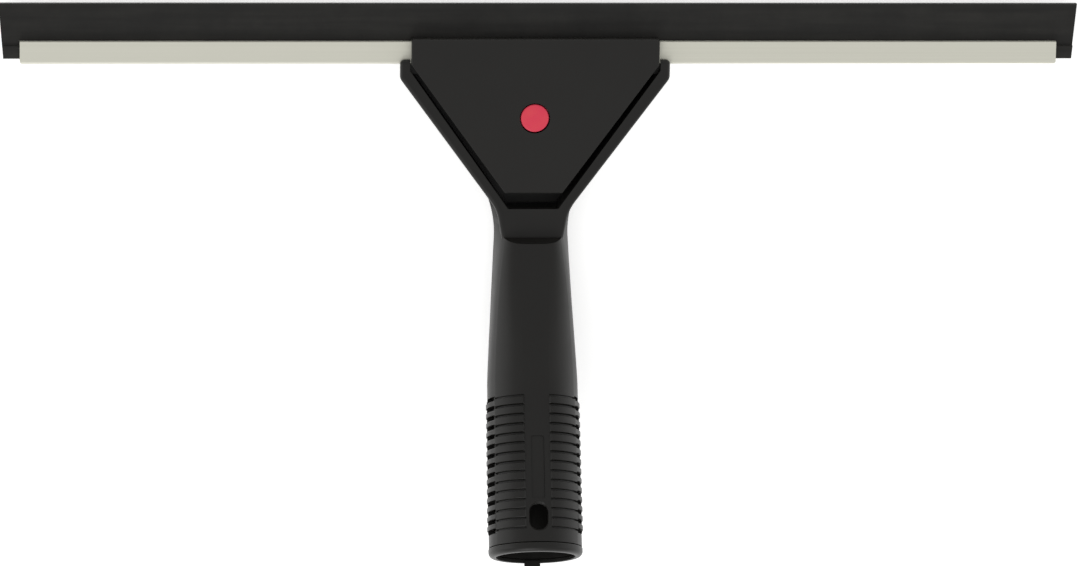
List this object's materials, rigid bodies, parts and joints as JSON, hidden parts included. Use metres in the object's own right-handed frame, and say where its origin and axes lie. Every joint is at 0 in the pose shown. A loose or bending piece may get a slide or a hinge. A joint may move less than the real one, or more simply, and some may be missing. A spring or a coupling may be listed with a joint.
{
  "type": "window squeegee",
  "caption": "Window squeegee: ribbed bent handle with a pole socket, rocking jaw plate with a round release button, pale channel and a black rubber blade.",
  "frame": {"origin": "on the flat back of the head, on the mid-plane, at the seat under the blade channel", "axes": "+X along the blade, +Y from the grip towards the blade, +Z out of the front face"},
  "size_m": [0.3642, 0.191, 0.0586],
  "materials": {
    "black_plastic": "fine moulded grain",
    "red_plastic": "smooth satin",
    "steel": "plain",
    "anodised_aluminium": "pale satin anodised",
    "black_rubber": "smooth, slightly mottled"
  },
  "bodies": {
    "handle": {"handle_body": "black_plastic", "socket_ring": "black_plastic", "jaw_pin_left": "steel", "jaw_pin_right": "steel", "jaw_spring": "steel"},
    "jaw": {"jaw_plate": "black_plastic", "mechanism_cover": "black_plastic", "cover_screw_left": "steel", "cover_screw_right": "steel", "button_spring": "steel", "lock_slide_spring": "steel"},
    "button": {"release_button": "red_plastic"},
    "lock": {"lock_slide": "black_plastic"},
    "blade": {"channel": "anodised_aluminium", "rubber_blade": "black_rubber", "rubber_clip_left": "steel", "rubber_clip_right": "steel"}
  },
  "joints": [
    {"name": "jaw_rock", "type": "hinge", "parent": "handle", "child": "jaw", "pos_m": [0, -0.011, 0.009], "axis": [1, 0, 0], "range_deg": [0, 8.5], "stiffness_Nm_per_rad": 1.5, "springref_deg": -8.59, "deforming": ["jaw_spring"]},
    {"name": "button_press", "type": "slide", "parent": "jaw", "child": "button", "axis": [0, 0, -1], "range_m": [0, 0.0022], "deforming": ["button_spring"]},
    {"name": "lock_draw", "type": "slide", "parent": "jaw", "child": "lock", "axis": [0, 1, 0], "range_m": [0, 0.0022], "deforming": ["lock_slide_spring"]},
    {"name": "blade_shift", "type": "slide", "parent": "handle", "child": "blade", "axis": [1, 0, 0], "range_m": [-0.13, 0.126]}
  ],
  "couplings": [
    {"joint": "button_press", "follows": "jaw_rock", "m_per_rad": 0.01482},
    {"joint": "lock_draw", "follows": "jaw_rock", "m_per_rad": 0.01482}
  ]
}
